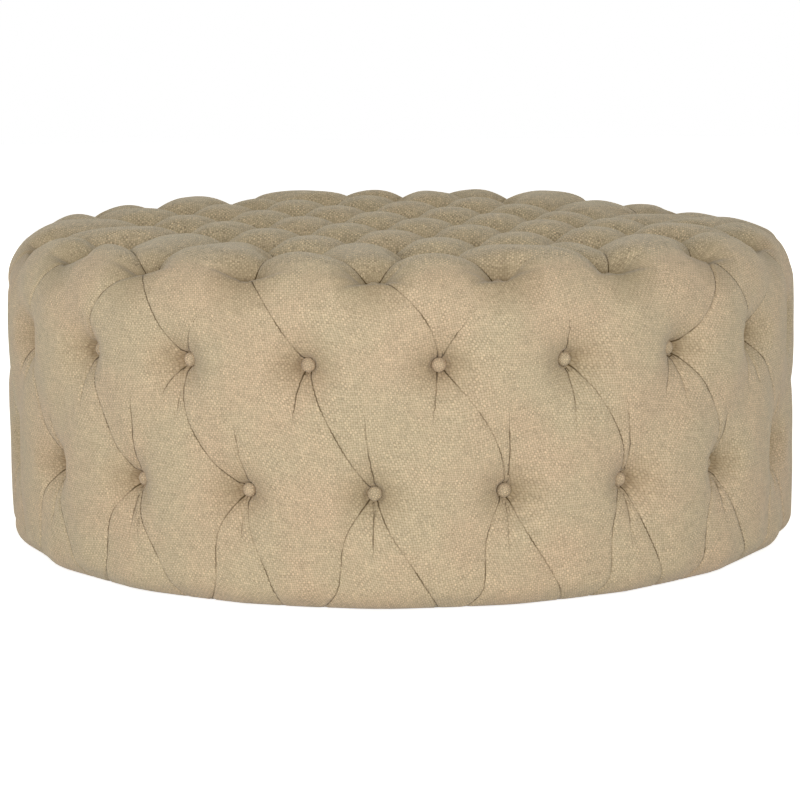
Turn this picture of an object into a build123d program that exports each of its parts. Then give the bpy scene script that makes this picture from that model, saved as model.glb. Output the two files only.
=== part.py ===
from build123d import *
from math import asin, ceil, cos, degrees, radians, sin, sqrt, tan
import os

# A round, fully tufted ottoman coffee table: a timber frame, foam, and one deep-buttoned cover.
# Millimetres, +Z up, floor at Z = 0, centre of the ottoman on the Z axis.

os.makedirs("parts", exist_ok=True)

# Overall size
overall_diameter = 1180.0
overall_height = 475.0

# Tuft layout: three rows round the side and rim, and a square net of tufts on the top
tufts_round = 20
side_phase = 5.2
lower_row_share = 0.471
row_below_hoop = 8.0
rim_row_drop = 50.0
rim_row_inset = 62.0
top_tuft_spacing = 130.0
top_turn = 30.6
top_edge_gap_share = 0.53

# Padding
side_tuft_depth = 42.0
top_tuft_depth = 45.0
side_pad_behind_button = 18.0
top_pad_behind_button = 14.0
top_edge_round = 100.0
bottom_edge_round = 27.0
top_panel_inset = 112.0
side_foam_thickness = 20.0
top_foam_thickness = 45.0
top_foam_clearance = 8.0
turn_under_width = 85.0
turn_under_thickness = 1.5
dust_cloth_thickness = 1.0
dust_cloth_width = 60.0

# Buttons, twine and toggles
button_diameter = 20.0
button_thickness = 8.0
button_crown_diameter = 10.0
seat_margin = 1.5
twine_thickness = 1.6
twine_hole = 5.0
toggle_length = 24.0
toggle_width = 5.0
toggle_thickness = 3.0

# Timber frame
stave_thickness = 12.0
stave_gap = 14.0
stave_rise = 32.0
base_ring_width = 95.0
hoop_width = 28.0
ply_thickness = 18.0
slat_gap = 14.0
slat_thickness = 18.0
slat_clearance = 1.0
beam_width = 30.0
beam_depth = 60.0
post_width = 45.0
rail_width = 70.0
rail_thickness = 18.0

# Glides and staples
glide_count = 6
glide_diameter = 25.0
glide_height = 2.5
glide_inset = 28.0
nail_width = 2.6
nail_length = 14.0
nail_hole_clearance = 0.2
staple_count = 20
staple_width = 12.0
staple_wire = 1.2
staple_inset = 7.0

# One overrun for every cut
overrun = 2.0

# Heights
dust_cloth_bottom = glide_height
cover_bottom = dust_cloth_bottom + dust_cloth_thickness
frame_bottom = cover_bottom + turn_under_thickness
base_ring_top = frame_bottom + ply_thickness
top_seat_height = overall_height - top_tuft_depth
pad_underside = top_seat_height - top_pad_behind_button
deck_top = pad_underside - top_foam_thickness
deck_underside = deck_top - slat_thickness
hoop_bottom = deck_underside - ply_thickness
stave_top = deck_top + stave_rise
rail_top = base_ring_top + rail_thickness
rim_row_height = overall_height - rim_row_drop
upper_row_height = hoop_bottom - row_below_hoop
lower_row_height = cover_bottom + lower_row_share * (upper_row_height - cover_bottom)

# Radii, measured to the middle of a flat on pieces with flat sides
outer_radius = overall_diameter / 2
side_seat_radius = outer_radius - side_tuft_depth
rim_seat_radius = outer_radius - rim_row_inset
pad_inner = side_seat_radius - side_pad_behind_button
stave_outer = pad_inner - side_foam_thickness
stave_inner = stave_outer - stave_thickness
base_ring_inner = stave_inner - base_ring_width
hoop_inner = stave_inner - hoop_width
top_foam_radius = stave_inner - top_foam_clearance
turn_under_inner = pad_inner - turn_under_width
dust_cloth_radius = turn_under_inner + dust_cloth_width
glide_ring = stave_inner - glide_inset
top_panel_radius = outer_radius - top_panel_inset

# Angles, in degrees
tuft_step = 360.0 / tufts_round
upper_row_turn = side_phase - 90.0
lower_row_turn = upper_row_turn + tuft_step / 2
seat_half = button_diameter / 2 + seat_margin


def polar(radius, angle):
    """A point at a radius and an angle in degrees."""
    return (radius * cos(radians(angle)), radius * sin(radians(angle)))


def flat_sided(apothem, sides):
    """A regular polygon about the Z axis, with a flat behind each tuft of the upper row."""
    half_turn = 180.0 / sides
    corner = apothem / cos(radians(half_turn))
    corners = [polar(corner, upper_row_turn + (2 * k + 1) * half_turn) for k in range(sides)]
    return Polygon(*corners, align=None)


def upright_plane(radius, angle, height):
    """A vertical plane that faces outwards, its X axis along the side."""
    x, y = polar(radius, angle)
    return Plane(origin=(x, y, height), x_dir=(*polar(1, angle + 90), 0), z_dir=(*polar(1, angle), 0))


def rim_plane(angle):
    """The plane of a rim seat, which faces half outwards and half upwards."""
    x, y = polar(rim_seat_radius, angle)
    return Plane(origin=(x, y, rim_row_height), x_dir=(*polar(1, angle + 90), 0), z_dir=(*polar(1, angle), 1))


def row_angles(first_angle):
    """The angles of a row of tufts round the side."""
    return [first_angle + k * tuft_step for k in range(tufts_round)]


# Tufts on the top: a square net, turned, with the middle of the top half way between two tufts
top_axis = Plane.XY.rotated((0, 0, top_turn))
top_tuft_reach = rim_seat_radius - top_edge_gap_share * top_tuft_spacing
net_count = ceil(top_tuft_reach / top_tuft_spacing)
net_points = [((i + 0.5) * top_tuft_spacing, j * top_tuft_spacing)
              for i in range(-net_count - 1, net_count + 1) for j in range(-net_count, net_count + 1)]
top_tufts = [(x, y) for x, y in net_points if sqrt(x * x + y * y) <= top_tuft_reach]

upper_seats = [upright_plane(side_seat_radius, a, upper_row_height) for a in row_angles(upper_row_turn)]
lower_seats = [upright_plane(side_seat_radius, a, lower_row_height) for a in row_angles(lower_row_turn)]
rim_seats = [rim_plane(a) for a in row_angles(lower_row_turn)]
top_seat_plane = top_axis.offset(top_seat_height)
top_seats = [top_seat_plane.shift_origin(top_seat_plane.from_local_coords((x, y))) for x, y in top_tufts]

# Tufted cover: outline of one level, as puffs between pleats
flank_share = 0.45
pleat_rise_share = 0.7
low_open_share = 0.7
mid_open_share = 0.5
shoulder_open_share = 0.35
shoulder_drop_share = 0.18
seat_rise = seat_half / sqrt(2)
half_step = tuft_step / 2
seat_angle = degrees(asin(seat_half / side_seat_radius))


def crest_radius(height):
    """How far out the crests of the puffs reach: upright, with a rounded top and bottom edge."""
    above = max(0, height - (overall_height - top_edge_round))
    below = max(0, cover_bottom + bottom_edge_round - height)
    top_inset = top_edge_round - sqrt(top_edge_round ** 2 - above ** 2)
    bottom_inset = bottom_edge_round - sqrt(bottom_edge_round ** 2 - below ** 2)
    return outer_radius - top_inset - bottom_inset


def puff(half_width, valley, crest, shares):
    """Points across a puff, as angles from its middle and radii: an arch on the chord between its pleats."""
    chord = valley * cos(radians(half_width))
    full_rise = crest - chord / cos(radians(flank_share * half_width))
    rise = full_rise * sin(radians(90 * (half_width - seat_angle) / (half_step - 2 * seat_angle)))
    points = []
    for share in shares:
        turn = share * half_width
        arch = sqrt((1 - share ** 2) / (1 - flank_share ** 2))
        points.append((turn, chord / cos(radians(turn)) + rise * arch))
    return points


def bay_level(height, open_share, valley):
    """One bay of one level, a slice from the axis out: a puff over a lower tuft and one over an upper one."""
    crest = crest_radius(height)
    lower_half = seat_angle + open_share * (half_step - 2 * seat_angle)
    upper_half = half_step - lower_half
    points = [(0, 0), polar(valley, lower_row_turn - lower_half)]
    for turn, radius in puff(lower_half, valley, crest, (-flank_share, flank_share, 1)):
        points.append(polar(radius, lower_row_turn + turn))
    for turn, radius in puff(upper_half, valley, crest, (-flank_share, flank_share, 1)):
        points.append(polar(radius, upper_row_turn + tuft_step + turn))
    return Face(Wire.make_polygon([(x, y, height) for x, y in points], close=True))


# Levels of the cover: height, how far the puffs over the lower tufts are open, and the pleat's radius
side_valley = side_seat_radius / cos(radians(seat_angle))
side_pleat = side_valley + pleat_rise_share * side_tuft_depth
bottom_valley = side_seat_radius - bottom_edge_round / 2
lower_span = upper_row_height - lower_row_height
rim_span = rim_row_height - upper_row_height
bottom_open_share = (lower_row_height - cover_bottom) / lower_span
shoulder_height = overall_height - shoulder_drop_share * top_edge_round
shoulder_valley = top_panel_radius + shoulder_drop_share * top_edge_round
cover_levels = [
    (cover_bottom, bottom_open_share, bottom_valley),
    (cover_bottom + bottom_edge_round, low_open_share, (side_valley + side_pleat) / 2),
    (lower_row_height - lower_span / 2, mid_open_share, side_pleat),
    (lower_row_height - seat_half, 0, side_valley),
    (lower_row_height + seat_half, 0, side_valley),
    (lower_row_height + lower_span / 2, mid_open_share, side_pleat),
    (upper_row_height - seat_half, 1, side_valley),
    (upper_row_height + seat_half, 1, side_valley),
    (upper_row_height + rim_span / 2, mid_open_share, side_pleat),
    (rim_row_height - seat_rise, 0, rim_seat_radius + seat_rise),
    (rim_row_height + seat_rise, 0, rim_seat_radius - seat_rise),
    (shoulder_height, shoulder_open_share, shoulder_valley),
    (overall_height, mid_open_share, top_panel_radius),
]

# Channels sewn across the top, as shares of the spacing and of the depth, from the middle out
channel_depth = 26.0
channel_width_shares = (0, 0.16, 0.46)
channel_depth_shares = (1, 0.36, 0)
channel_end_share = 0.04
channel_taper = 45.0
channel_clearance = 3.0
channel_reach = top_panel_radius - channel_clearance


def channel_outline(share):
    """A channel's cross-section, with the surface of the top as its X axis, shrunk by a share."""
    widths = [w * top_tuft_spacing * share for w in channel_width_shares]
    depths = [-d * channel_depth * share for d in channel_depth_shares]
    right = list(zip(widths, depths))
    left = [(-w, d) for w, d in reversed(right[1:])]
    above = [(widths[-1], overrun * share), (-widths[-1], overrun * share)]
    return Polygon(*left, *right, *above, align=None)


def channel(across, turn):
    """One long channel that fades out at both ends, at a distance from the middle of the top."""
    frame = Plane.XY.offset(overall_height).rotated((0, 0, top_turn + turn))
    half = sqrt(channel_reach ** 2 - across ** 2)
    inner = half - channel_taper
    with BuildPart() as one_channel:
        for place, share in ((-half, channel_end_share), (-inner, 1), (inner, 1), (half, channel_end_share)):
            centre = frame.from_local_coords((place, across, 0))
            with BuildSketch(Plane(origin=centre, x_dir=frame.y_dir, z_dir=frame.x_dir)):
                channel_outline(share)
        loft(ruled=True)
    return one_channel.part


line_count = ceil(channel_reach / top_tuft_spacing)
cross_lines = [k * top_tuft_spacing for k in range(-line_count, line_count + 1)]
long_lines = [(k + 0.5) * top_tuft_spacing for k in range(-line_count - 1, line_count + 1)]

channels = []
for turn, lines in ((0, cross_lines), (90, long_lines)):
    for line in lines:
        if channel_reach ** 2 - line ** 2 > (2 * channel_taper) ** 2:
            channels.append(channel(line, turn))

# One tuft's well on the top: a square one, its corners on the channels, from the seat up to the surface
well_width_shares = (1, 1.5, 3.1)
well_depth_shares = (1, 0.5, 0)
with BuildPart() as well:
    for width_share, depth_share in zip(well_width_shares, well_depth_shares):
        with BuildSketch(Plane.XY.offset((1 - depth_share) * top_tuft_depth)):
            Rectangle(2 * seat_half * width_share, 2 * seat_half * width_share, rotation=45)
    loft(ruled=True)

hole_reach = max(top_pad_behind_button, (side_pad_behind_button + side_foam_thickness) * sqrt(2)) + overrun
with BuildPart() as needle_hole:
    with BuildSketch(Plane.XY.offset(overrun)):
        RegularPolygon(twine_hole / 2, 3)
    extrude(amount=-hole_reach - overrun)

top_holes = [needle_hole.part.moved(seat.location) for seat in top_seats]
side_holes = [needle_hole.part.moved(seat.location) for seat in upper_seats + lower_seats + rim_seats]

# Nails of the glides, and the holes that they make
glide_places = [polar(glide_ring, upper_row_turn + k * 360.0 / glide_count) for k in range(glide_count)]
with BuildPart() as nail_hole:
    with BuildSketch(Plane.XY.offset(dust_cloth_bottom)):
        Rectangle(nail_width + 2 * nail_hole_clearance, nail_width + 2 * nail_hole_clearance)
    extrude(amount=nail_length + nail_hole_clearance)
nail_holes = [nail_hole.part.moved(Location((x, y, 0))) for x, y in glide_places]

# Cover: one bay of its skin is lofted through the levels, repeated round the axis and closed to a solid
with BuildPart() as cover_bay:
    loft([bay_level(*level) for level in cover_levels], ruled=True)

bay_faces = cover_bay.faces().sort_by(Axis.Z)
bay_skin = [bay_faces[0], bay_faces[-1]]
for face in bay_faces:
    if min(corner.X ** 2 + corner.Y ** 2 for corner in face.vertices()) > seat_half ** 2:
        bay_skin.append(face)
cover_skin = Shell([face.rotate(Axis.Z, k * tuft_step) for k in range(tufts_round) for face in bay_skin])

with BuildPart() as tufted_cover:
    add(Solid(cover_skin))
    with BuildSketch(Plane.XY.offset(frame_bottom)):
        flat_sided(pad_inner, 2 * tufts_round)
    extrude(amount=pad_underside - frame_bottom, mode=Mode.SUBTRACT)
    with BuildSketch(Plane.XY.offset(cover_bottom)):
        flat_sided(turn_under_inner, 2 * tufts_round)
    extrude(amount=turn_under_thickness, mode=Mode.SUBTRACT)
    wells = [well.part.moved(seat.location) for seat in top_seats]
    add(channels + wells + top_holes + side_holes + nail_holes, mode=Mode.SUBTRACT)
tufted_cover.part.label = "tufted_cover"
export_step(tufted_cover.part, "parts/tufted_cover.step")

# Foam: a band round the staves and a slab on the deck
with BuildPart() as side_foam:
    with BuildSketch(Plane.XY.offset(frame_bottom)):
        flat_sided(pad_inner, 2 * tufts_round)
        add(flat_sided(stave_outer, tufts_round), mode=Mode.SUBTRACT)
    extrude(amount=pad_underside - frame_bottom)
    add(side_holes, mode=Mode.SUBTRACT)
side_foam.part.label = "side_foam"
export_step(side_foam.part, "parts/side_foam.step")

with BuildPart() as top_foam:
    with BuildSketch(Plane.XY.offset(deck_top)):
        flat_sided(top_foam_radius, 2 * tufts_round)
    extrude(amount=top_foam_thickness)
    with BuildSketch(top_axis.offset(deck_top)):
        with Locations(*top_tufts):
            RegularPolygon(twine_hole / 2, 3)
    extrude(amount=top_foam_thickness, mode=Mode.SUBTRACT)
top_foam.part.label = "top_foam"
export_step(top_foam.part, "parts/top_foam.step")

# Covered buttons, one group to each row
with BuildPart() as button:
    for height, diameter in ((0, button_diameter), (button_thickness, button_crown_diameter)):
        with BuildSketch(Plane.XY.offset(height)):
            RegularPolygon(diameter / 2, 8)
    loft(ruled=True)

button_rows = {"top_buttons": top_seats, "rim_buttons": rim_seats,
               "upper_side_buttons": upper_seats, "lower_side_buttons": lower_seats}
for node, seats in button_rows.items():
    with BuildPart() as buttons:
        add([button.part.moved(seat.location) for seat in seats])
    buttons.part.label = node
    export_step(buttons.part, f"parts/{node}.step")

# Twine: straight down through the top, straight in through the side, and slanting in from the rim
gap_turn = radians(tuft_step / 2)
gap_toggle_face = stave_inner / cos(gap_turn) - toggle_length / 2 * tan(gap_turn)
rim_toggle_height = rim_row_height - (rim_seat_radius - gap_toggle_face)

with BuildPart() as top_twines:
    with BuildSketch(top_axis.offset(deck_underside)):
        with Locations(*top_tufts):
            RegularPolygon(twine_thickness / 2, 3)
    extrude(amount=top_seat_height - deck_underside)
top_twines.part.label = "top_twines"
export_step(top_twines.part, "parts/top_twines.step")

side_twine_rows = {"upper_side_twines": (upper_seats, stave_inner),
                   "lower_side_twines": (lower_seats, gap_toggle_face)}
for node, (seats, inner_end) in side_twine_rows.items():
    with BuildPart() as twines:
        for seat in seats:
            with BuildSketch(seat):
                RegularPolygon(twine_thickness / 2, 3)
        extrude(amount=inner_end - side_seat_radius)
    twines.part.label = node
    export_step(twines.part, f"parts/{node}.step")

rim_ends = [upright_plane(gap_toggle_face, a, rim_toggle_height) for a in row_angles(lower_row_turn)]
with BuildPart() as rim_twines:
    for seat, end in zip(rim_seats, rim_ends):
        with BuildSketch(seat):
            RegularPolygon(twine_thickness / 2, 3)
        with BuildSketch(end):
            RegularPolygon(twine_thickness / 2, 3)
        loft(ruled=True)
rim_twines.part.label = "rim_twines"
export_step(rim_twines.part, "parts/rim_twines.step")

# Toggles that the twines are tied to, across the gaps in the deck and the side
with BuildPart() as deck_toggles:
    with BuildSketch(top_axis.offset(deck_underside)):
        with Locations(*top_tufts):
            Rectangle(toggle_length, toggle_width)
    extrude(amount=-toggle_thickness)
deck_toggles.part.label = "deck_toggles"
export_step(deck_toggles.part, "parts/deck_toggles.step")

toggle_planes = [upright_plane(stave_inner, a, upper_row_height) for a in row_angles(upper_row_turn)]
toggle_planes += [upright_plane(gap_toggle_face, a, lower_row_height) for a in row_angles(lower_row_turn)]
toggle_planes += rim_ends
with BuildPart() as side_toggles:
    for plane in toggle_planes:
        with BuildSketch(plane):
            Rectangle(toggle_length, toggle_width)
    extrude(amount=-toggle_thickness)
side_toggles.part.label = "side_toggles"
export_step(side_toggles.part, "parts/side_toggles.step")

# Staves: flat boards on edge round both rings, each bored for an upper tuft, with a gap for the others
stave_width = 2 * stave_inner * tan(gap_turn) - stave_gap
stave_height = stave_top - frame_bottom
for number, angle in enumerate(row_angles(upper_row_turn), start=1):
    with BuildPart() as stave:
        with BuildSketch(upright_plane(stave_inner, angle, frame_bottom + stave_height / 2)):
            Rectangle(stave_width, stave_height)
            with Locations((0, upper_row_height - frame_bottom - stave_height / 2)):
                RegularPolygon(twine_hole / 2, 3, mode=Mode.SUBTRACT)
        extrude(amount=stave_thickness)
    stave.part.label = f"stave_{number}"
    export_step(stave.part, f"parts/stave_{number}.step")

# Rings of plywood that hold the staves
with BuildPart() as base_ring:
    with BuildSketch(Plane.XY.offset(frame_bottom)):
        flat_sided(stave_inner, tufts_round)
        add(flat_sided(base_ring_inner, tufts_round), mode=Mode.SUBTRACT)
    extrude(amount=ply_thickness)
    add(nail_holes, mode=Mode.SUBTRACT)
base_ring.part.label = "base_ring"
export_step(base_ring.part, "parts/base_ring.step")

with BuildPart() as top_hoop:
    with BuildSketch(Plane.XY.offset(hoop_bottom)):
        flat_sided(stave_inner, tufts_round)
        add(flat_sided(hoop_inner, tufts_round), mode=Mode.SUBTRACT)
    extrude(amount=ply_thickness)
top_hoop.part.label = "top_hoop"
export_step(top_hoop.part, "parts/top_hoop.step")

# Deck: boards on the hoop, with a gap below every line of top tufts
slat_width = top_tuft_spacing - slat_gap
slat_steps = int((hoop_inner - slat_width / 2) / top_tuft_spacing)
for number, step in enumerate(range(-slat_steps, slat_steps + 1), start=1):
    with BuildPart() as slat:
        with BuildSketch(Plane.XY.offset(deck_underside)):
            flat_sided(stave_inner - slat_clearance, tufts_round)
            with Locations(top_axis.location * Location((step * top_tuft_spacing, 0, 0))):
                Rectangle(slat_width, overall_diameter, mode=Mode.INTERSECT)
        extrude(amount=slat_thickness)
    slat.part.label = f"deck_slat_{number}"
    export_step(slat.part, f"parts/deck_slat_{number}.step")

# Two beams carry the deck boards, across them and clear of every twine
beam_offset = 3 * top_tuft_spacing / 2
beam_half_length = sqrt((hoop_inner - slat_clearance) ** 2 - (beam_offset + beam_width / 2) ** 2)
beam_sides = {"left": 1, "right": -1}
for side, sign in beam_sides.items():
    with BuildPart() as beam:
        with BuildSketch(top_axis.offset(deck_underside)):
            with Locations((0, sign * beam_offset)):
                Rectangle(2 * beam_half_length, beam_width)
        extrude(amount=-beam_depth)
    beam.part.label = f"deck_beam_{side}"
    export_step(beam.part, f"parts/deck_beam_{side}.step")

# Posts under the ends of the beams, standing on the base ring
post_offset = beam_half_length - post_width / 2
post_height = deck_underside - beam_depth - base_ring_top
for number, (x_sign, y_sign) in enumerate(((1, 1), (-1, 1), (-1, -1), (1, -1)), start=1):
    with BuildPart() as post:
        with BuildSketch(top_axis.offset(base_ring_top)):
            with Locations((x_sign * post_offset, y_sign * beam_offset)):
                Rectangle(post_width, post_width)
        extrude(amount=post_height)
    post.part.label = f"corner_post_{number}"
    export_step(post.part, f"parts/corner_post_{number}.step")

# Two rails, halved over each other in the middle, and the post that stands on them
rail_half_length = stave_inner - slat_clearance
rails = {"base_rail_lower": (0, rail_top - rail_thickness / 2), "base_rail_upper": (90, base_ring_top)}
for node, (turn, notch_bottom) in rails.items():
    rail_plane = top_axis.offset(base_ring_top).rotated((0, 0, turn))
    with BuildPart() as rail:
        with BuildSketch(rail_plane):
            Rectangle(2 * rail_half_length, rail_width)
        extrude(amount=rail_thickness)
        with BuildSketch(top_axis.offset(notch_bottom)):
            Rectangle(rail_width, rail_width)
        extrude(amount=rail_thickness / 2, mode=Mode.SUBTRACT)
    rail.part.label = node
    export_step(rail.part, f"parts/{node}.step")

with BuildPart() as centre_post:
    with BuildSketch(top_axis.offset(rail_top)):
        Rectangle(post_width, post_width)
    extrude(amount=deck_underside - rail_top)
centre_post.part.label = "centre_post"
export_step(centre_post.part, "parts/centre_post.step")

# Underneath: a dust cloth, its staples, and glides nailed through it
with BuildPart() as dust_cloth:
    with BuildSketch(Plane.XY.offset(dust_cloth_bottom)):
        flat_sided(dust_cloth_radius, 2 * tufts_round)
    extrude(amount=dust_cloth_thickness)
    add(nail_holes, mode=Mode.SUBTRACT)
dust_cloth.part.label = "dust_cloth"
export_step(dust_cloth.part, "parts/dust_cloth.step")

with BuildPart() as dust_cloth_staples:
    with BuildSketch(Plane.XY.offset(dust_cloth_bottom)):
        with PolarLocations(dust_cloth_radius - staple_inset, staple_count, start_angle=side_phase):
            Rectangle(staple_wire, staple_width)
    extrude(amount=-staple_wire)
dust_cloth_staples.part.label = "dust_cloth_staples"
export_step(dust_cloth_staples.part, "parts/dust_cloth_staples.step")

with BuildPart() as glides:
    with BuildSketch(Plane.XY):
        with Locations(*glide_places):
            RegularPolygon(glide_diameter / 2, 12)
    extrude(amount=glide_height)
    with BuildSketch(Plane.XY.offset(glide_height)):
        with Locations(*glide_places):
            Rectangle(nail_width, nail_width)
    extrude(amount=nail_length)
glides.part.label = "glides"
export_step(glides.part, "parts/glides.step")
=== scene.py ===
import math
from collections import namedtuple

import bpy
import numpy as np
from mathutils import Matrix, Vector


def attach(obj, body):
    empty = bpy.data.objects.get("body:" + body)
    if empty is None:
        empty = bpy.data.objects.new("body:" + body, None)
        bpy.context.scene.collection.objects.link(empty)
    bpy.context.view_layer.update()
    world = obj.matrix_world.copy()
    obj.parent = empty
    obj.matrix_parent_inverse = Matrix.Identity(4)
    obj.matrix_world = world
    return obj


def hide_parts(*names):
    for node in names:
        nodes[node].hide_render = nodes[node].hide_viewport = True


# The looks of a round, fully tufted ottoman coffee table: deep-buttoned woven cover, covered buttons, foam,
# dust cloth and glides around the fixed frame. Metres, +Z up, floor at Z = 0.

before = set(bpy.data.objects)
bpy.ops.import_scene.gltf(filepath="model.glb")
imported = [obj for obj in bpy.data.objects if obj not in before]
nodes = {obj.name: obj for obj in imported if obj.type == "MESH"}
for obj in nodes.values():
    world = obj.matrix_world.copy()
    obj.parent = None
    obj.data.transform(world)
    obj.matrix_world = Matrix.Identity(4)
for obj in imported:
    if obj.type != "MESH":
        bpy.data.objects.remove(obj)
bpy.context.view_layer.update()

# Sizes of the cover and of what it wraps, as in the part's source
OUTER_RADIUS = 0.590
COVER_HEIGHT = 0.475
COVER_BOTTOM = 0.0035
LOWEST_FOLD = 0.0015
TOP_EDGE_ROUND = 0.100
BOTTOM_EDGE_ROUND = 0.037
TURN_UNDER_RADIUS = 0.445
PAD_RADIUS = 0.530
PAD_BOTTOM = 0.005
PAD_TOP = 0.416

# Tufts: three rows round the side and rim, and a square net on the top
TUFTS_ROUND = 20
STEP = 2 * math.pi / TUFTS_ROUND
UPPER_TURN = math.radians(-84.8)
LOWER_TURN = UPPER_TURN + STEP / 2
SIDE_SEAT_RADIUS = 0.548
UPPER_HEIGHT = 0.327
LOWER_HEIGHT = 0.15587
RIM_SEAT_RADIUS = 0.528
RIM_SEAT_HEIGHT = 0.425
RIM_SEAT_TILT = math.pi / 4
TOP_SEAT_HEIGHT = 0.430
TOP_SPACING = 0.130
TOP_TURN = math.radians(30.6)
TOP_REACH = 0.4621

# Distances along the profile, from the bottom edge to the middle of the top
LOW_END = BOTTOM_EDGE_ROUND * math.pi / 2
SIDE_END = LOW_END + COVER_HEIGHT - TOP_EDGE_ROUND - LOWEST_FOLD - BOTTOM_EDGE_ROUND
EDGE_END = SIDE_END + TOP_EDGE_ROUND * math.pi / 2
FLAT_RADIUS = OUTER_RADIUS - TOP_EDGE_ROUND
PROFILE_END = EDGE_END + FLAT_RADIUS

rng = np.random.default_rng(11)


# Meshes

def new_piece(name, vertices, faces, material):
    """A smooth mesh object at the origin, with its place in its mesh."""
    mesh = bpy.data.meshes.new(name)
    mesh.from_pydata(vertices.tolist(), [], faces)
    mesh.validate()
    mesh.polygons.foreach_set("use_smooth", np.full(len(mesh.polygons), True))
    mesh.materials.append(material)
    piece = bpy.data.objects.new(name, mesh)
    bpy.context.scene.collection.objects.link(piece)
    return piece


def vertex_values(piece, name, values):
    """A named number on each vertex."""
    layer = piece.data.attributes.new(name, "FLOAT", "POINT")
    layer.data.foreach_set("value", values.astype(np.float32))


def corner_vertices(piece):
    """The vertex at each corner of the faces."""
    corner = np.zeros(len(piece.data.loops), int)
    piece.data.loops.foreach_get("vertex_index", corner)
    return corner


def corner_map(piece, name, u, v):
    """A UV map from values at the corners of the faces."""
    layer = piece.data.uv_layers.new(name=name)
    layer.data.foreach_set("uv", np.stack([u, v], axis=1).astype(np.float32).ravel())


def ring_turns(count):
    """The turn about the Z axis of each point of a ring."""
    return np.arange(count) * 2 * math.pi / count


def round_points(radius, turn, height):
    """Points from their radii, their turns about the Z axis and their heights."""
    return np.stack(np.broadcast_arrays(radius * np.cos(turn), radius * np.sin(turn), height), axis=-1)


def rings_to_faces(counts):
    """Faces between rings of points: quads where two rings have the same count, and a row of three triangles
    for each pair of points where the count halves."""
    starts = np.concatenate([[0], np.cumsum(counts)])
    faces = []
    for low, high, a, b in zip(counts[:-1], counts[1:], starts[:-2], starts[1:-1]):
        i = np.arange(high)
        if low == high:
            j = (i + 1) % low
            faces += np.stack([a + i, a + j, b + j, b + i], axis=1).tolist()
        else:
            p, q, r = a + 2 * i, a + 2 * i + 1, a + (2 * i + 2) % low
            s, t = b + i, b + (i + 1) % high
            for corners in ((p, q, s), (q, t, s), (q, r, t)):
                faces += np.stack(corners, axis=1).tolist()
    return faces


def capped_faces(counts, end_cap=True):
    """The faces between rings, after a fan of triangles round a point that comes before the first ring, and
    with one round a point after the last ring if the surface is closed there."""
    i = np.arange(counts[0])
    faces = np.stack([0 * i, 1 + (i + 1) % counts[0], 1 + i], axis=1).tolist()
    faces += [[1 + v for v in face] for face in rings_to_faces(counts)]
    if end_cap:
        i = np.arange(counts[-1])
        last, end = 1 + sum(counts[:-1]), 1 + sum(counts)
        faces += np.stack([last + i, last + (i + 1) % counts[-1], end + 0 * i], axis=1).tolist()
    return faces


def smooth_step(x):
    """0 below 0, 1 above 1, and an S-curve between."""
    x = np.clip(x, 0, 1)
    return x * x * (3 - 2 * x)


# The cover's untufted surface

def cover_surface(turn, along):
    """Points and outward normals of the untufted cover: a quarter circle at the bottom edge, an upright
    side, a quarter circle at the top edge, then the flat top to the middle, turned about the Z axis."""
    low = np.clip(along / BOTTOM_EDGE_ROUND, 0, math.pi / 2)
    up = np.clip(along - LOW_END, 0, SIDE_END - LOW_END)
    high = np.clip((along - SIDE_END) / TOP_EDGE_ROUND, 0, math.pi / 2)
    across = np.clip(along - EDGE_END, 0, None)
    radius = (OUTER_RADIUS - BOTTOM_EDGE_ROUND * (1 - np.sin(low)) - TOP_EDGE_ROUND * (1 - np.cos(high))
              - across)
    height = LOWEST_FOLD + BOTTOM_EDGE_ROUND * (1 - np.cos(low)) + up + TOP_EDGE_ROUND * np.sin(high)
    tilt = low - math.pi / 2 + high
    return round_points(radius, turn, height), round_points(np.cos(tilt), turn, np.sin(tilt))


def along_of_height(height):
    """Distance along the profile of a height on the upright side."""
    return LOW_END + height - LOWEST_FOLD - BOTTOM_EDGE_ROUND


def along_of_radius(radius):
    """Distance along the profile of a radius on the top or its rounded edge."""
    edge = np.arccos(np.clip((radius - FLAT_RADIUS) / TOP_EDGE_ROUND, 0, 1))
    return np.where(radius > FLAT_RADIUS, SIDE_END + TOP_EDGE_ROUND * edge, EDGE_END + FLAT_RADIUS - radius)


UPPER_ALONG = along_of_height(UPPER_HEIGHT)
LOWER_ALONG = along_of_height(LOWER_HEIGHT)
rim_out = RIM_SEAT_RADIUS - FLAT_RADIUS
rim_up = RIM_SEAT_HEIGHT - COVER_HEIGHT + TOP_EDGE_ROUND
RIM_TILT = math.atan2(rim_up, rim_out)
RIM_ALONG = SIDE_END + TOP_EDGE_ROUND * RIM_TILT
RIM_DEPTH = TOP_EDGE_ROUND - math.hypot(rim_out, rim_up)


# Seats of the buttons

# How the cloth looks round a seat: the reach of the shade painted round it and how much further that goes
# sideways, the height of the wrinkles, and the radius within which the cloth is held on the seat, with the
# step up from it
SeatLook = namedtuple("SeatLook", "hollow widen wrinkle held step")
SIDE_SEAT = SeatLook(hollow=0.020, widen=1.45, wrinkle=0.0014, held=0.0155, step=0.006)
RIM_SEAT = SeatLook(hollow=0.040, widen=1.0, wrinkle=0.0, held=0.0125, step=0.003)
TOP_SEAT = SeatLook(hollow=0.029, widen=1.0, wrinkle=0.0, held=0.0155, step=0.006)

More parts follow.
